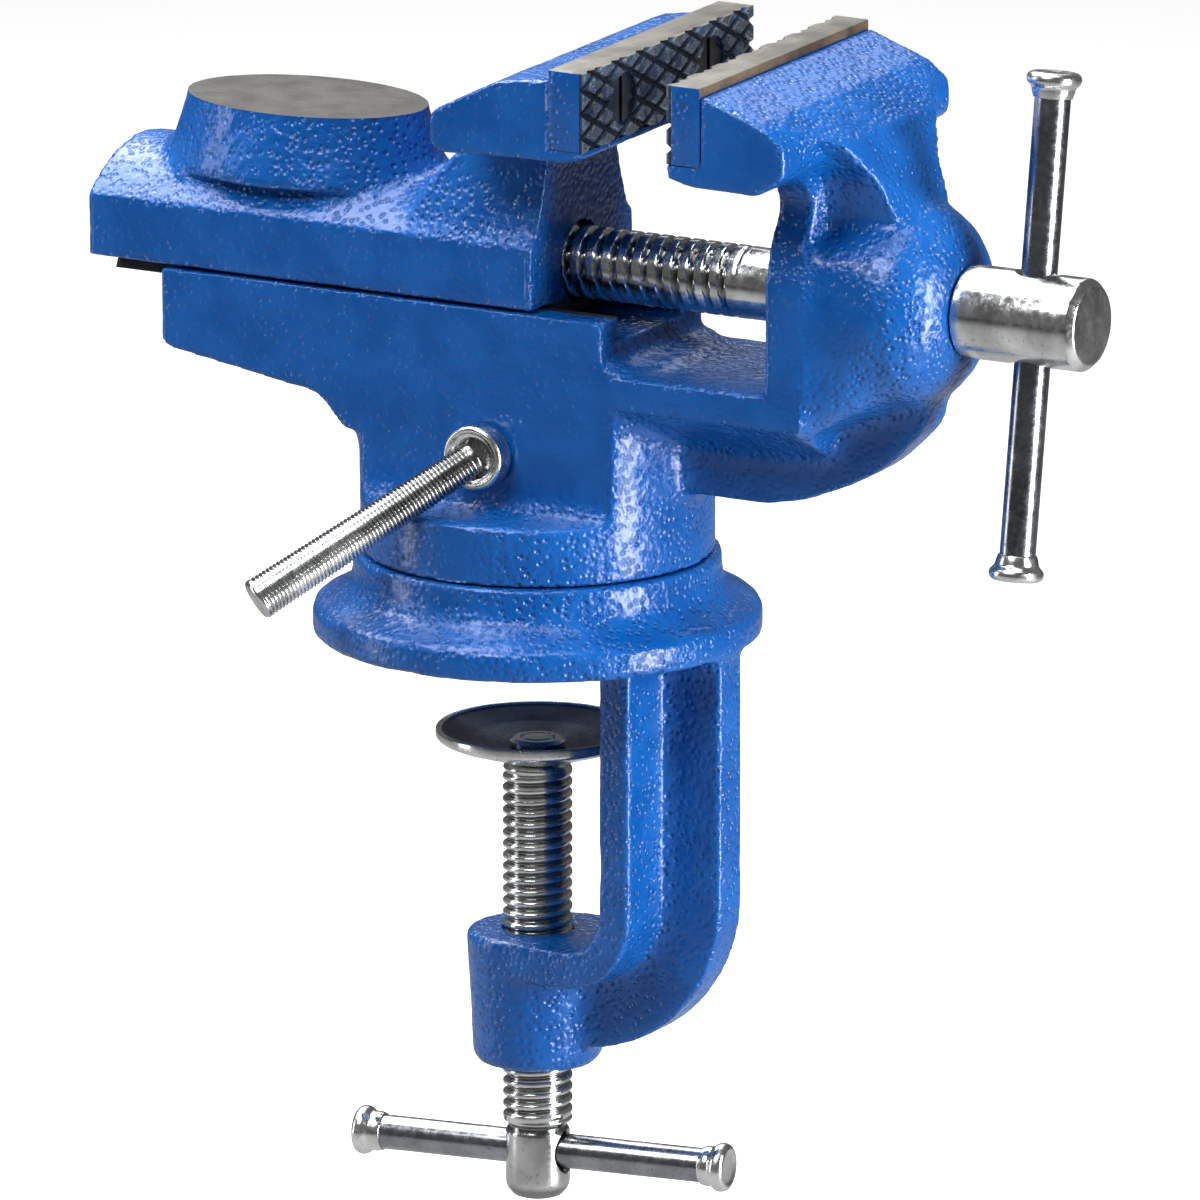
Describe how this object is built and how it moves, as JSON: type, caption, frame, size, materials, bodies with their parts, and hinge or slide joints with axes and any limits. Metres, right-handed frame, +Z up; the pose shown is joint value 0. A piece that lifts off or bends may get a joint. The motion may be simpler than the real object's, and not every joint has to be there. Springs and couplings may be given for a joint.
{
  "type": "bench vise",
  "caption": "Clamp-on bench vise with a swivel base, sliding jaw, oval anvil, T-bar main screw and a hooked arm with a clamp screw below.",
  "frame": {"origin": "on the swivel axis, where the underside of the round base sits on the bench top", "axes": "+X along the main screw towards its handle, +Y away from the lock lever, +Z up along the swivel axis"},
  "size_m": [0.185, 0.0921, 0.2084],
  "materials": {
    "blue_enamel": "glossy enamel over rough casting",
    "ground_steel": "ground",
    "zinc_steel": "bright zinc plate",
    "dark_steel": "oiled black",
    "cast_steel": "machined, oiled",
    "brass_plug": "turned"
  },
  "bodies": {
    "base": {"base_casting": "blue_enamel", "swivel_spigot": "cast_steel"},
    "swivel_body": {"body_casting": "blue_enamel", "fixed_jaw_plate": "ground_steel", "fixed_jaw_screws": "dark_steel"},
    "sliding_jaw": {"slide_casting": "blue_enamel", "moving_jaw_plate": "ground_steel", "moving_jaw_screws": "dark_steel", "lead_nut": "cast_steel"},
    "main_screw": {"lead_screw": "zinc_steel", "thrust_washer": "zinc_steel", "retaining_collar": "dark_steel", "collar_pin": "dark_steel"},
    "main_handle": {"main_handle_bar": "zinc_steel", "main_handle_upper_cap": "zinc_steel", "main_handle_lower_cap": "zinc_steel"},
    "plug": {"lock_plug": "brass_plug"},
    "swivel_lock": {"lock_screw": "zinc_steel", "lock_lever": "zinc_steel"},
    "pad": {"clamp_pad": "zinc_steel"},
    "lower_screw": {"clamp_screw": "zinc_steel", "pad_retainer": "zinc_steel"},
    "clamp_handle": {"clamp_handle_bar": "zinc_steel", "clamp_handle_right_cap": "zinc_steel", "clamp_handle_left_cap": "zinc_steel"}
  },
  "joints": [
    {"name": "swivel", "type": "hinge", "parent": "base", "child": "swivel_body", "pos_m": [0, 0, 0.02], "axis": [0, 0, 1], "continuous": true},
    {"name": "screw_turn", "type": "hinge", "parent": "swivel_body", "child": "main_screw", "pos_m": [0, 0, 0.0658], "axis": [1, 0, 0], "range_deg": [-1880, 4085]},
    {"name": "jaw_slide", "type": "slide", "parent": "swivel_body", "child": "sliding_jaw", "axis": [1, 0, 0], "range_m": [-0.034, 0.0156]},
    {"name": "main_handle_slide", "type": "slide", "parent": "main_screw", "child": "main_handle", "axis": [0, 0.1547, 0.988], "range_m": [-0.0292, 0.0318]},
    {"name": "lock_travel", "type": "slide", "parent": "swivel_body", "child": "plug", "axis": [0, 1, 0], "range_m": [0, 0.00069]},
    {"name": "lock_turn", "type": "hinge", "parent": "plug", "child": "swivel_lock", "pos_m": [0, -0.02, 0.035], "axis": [0, 1, 0], "range_deg": [0, 195]},
    {"name": "clamp_travel", "type": "slide", "parent": "base", "child": "pad", "axis": [0, 0, 1], "range_m": [-0.0261, 0.0113]},
    {"name": "clamp_turn", "type": "hinge", "parent": "pad", "child": "lower_screw", "pos_m": [0, 0, -0.05], "axis": [0, 0, 1], "range_deg": [-4680, 2016]},
    {"name": "clamp_handle_slide", "type": "slide", "parent": "lower_screw", "child": "clamp_handle", "axis": [0.9925, 0.1219, 0], "range_m": [-0.0243, 0.0222]}
  ],
  "couplings": [
    {"joint": "screw_turn", "follows": "jaw_slide", "rad_per_m": -2094.4},
    {"joint": "lock_travel", "follows": "lock_turn", "m_per_rad": 0.00019894},
    {"joint": "clamp_travel", "follows": "clamp_turn", "m_per_rad": 0.00031831}
  ]
}
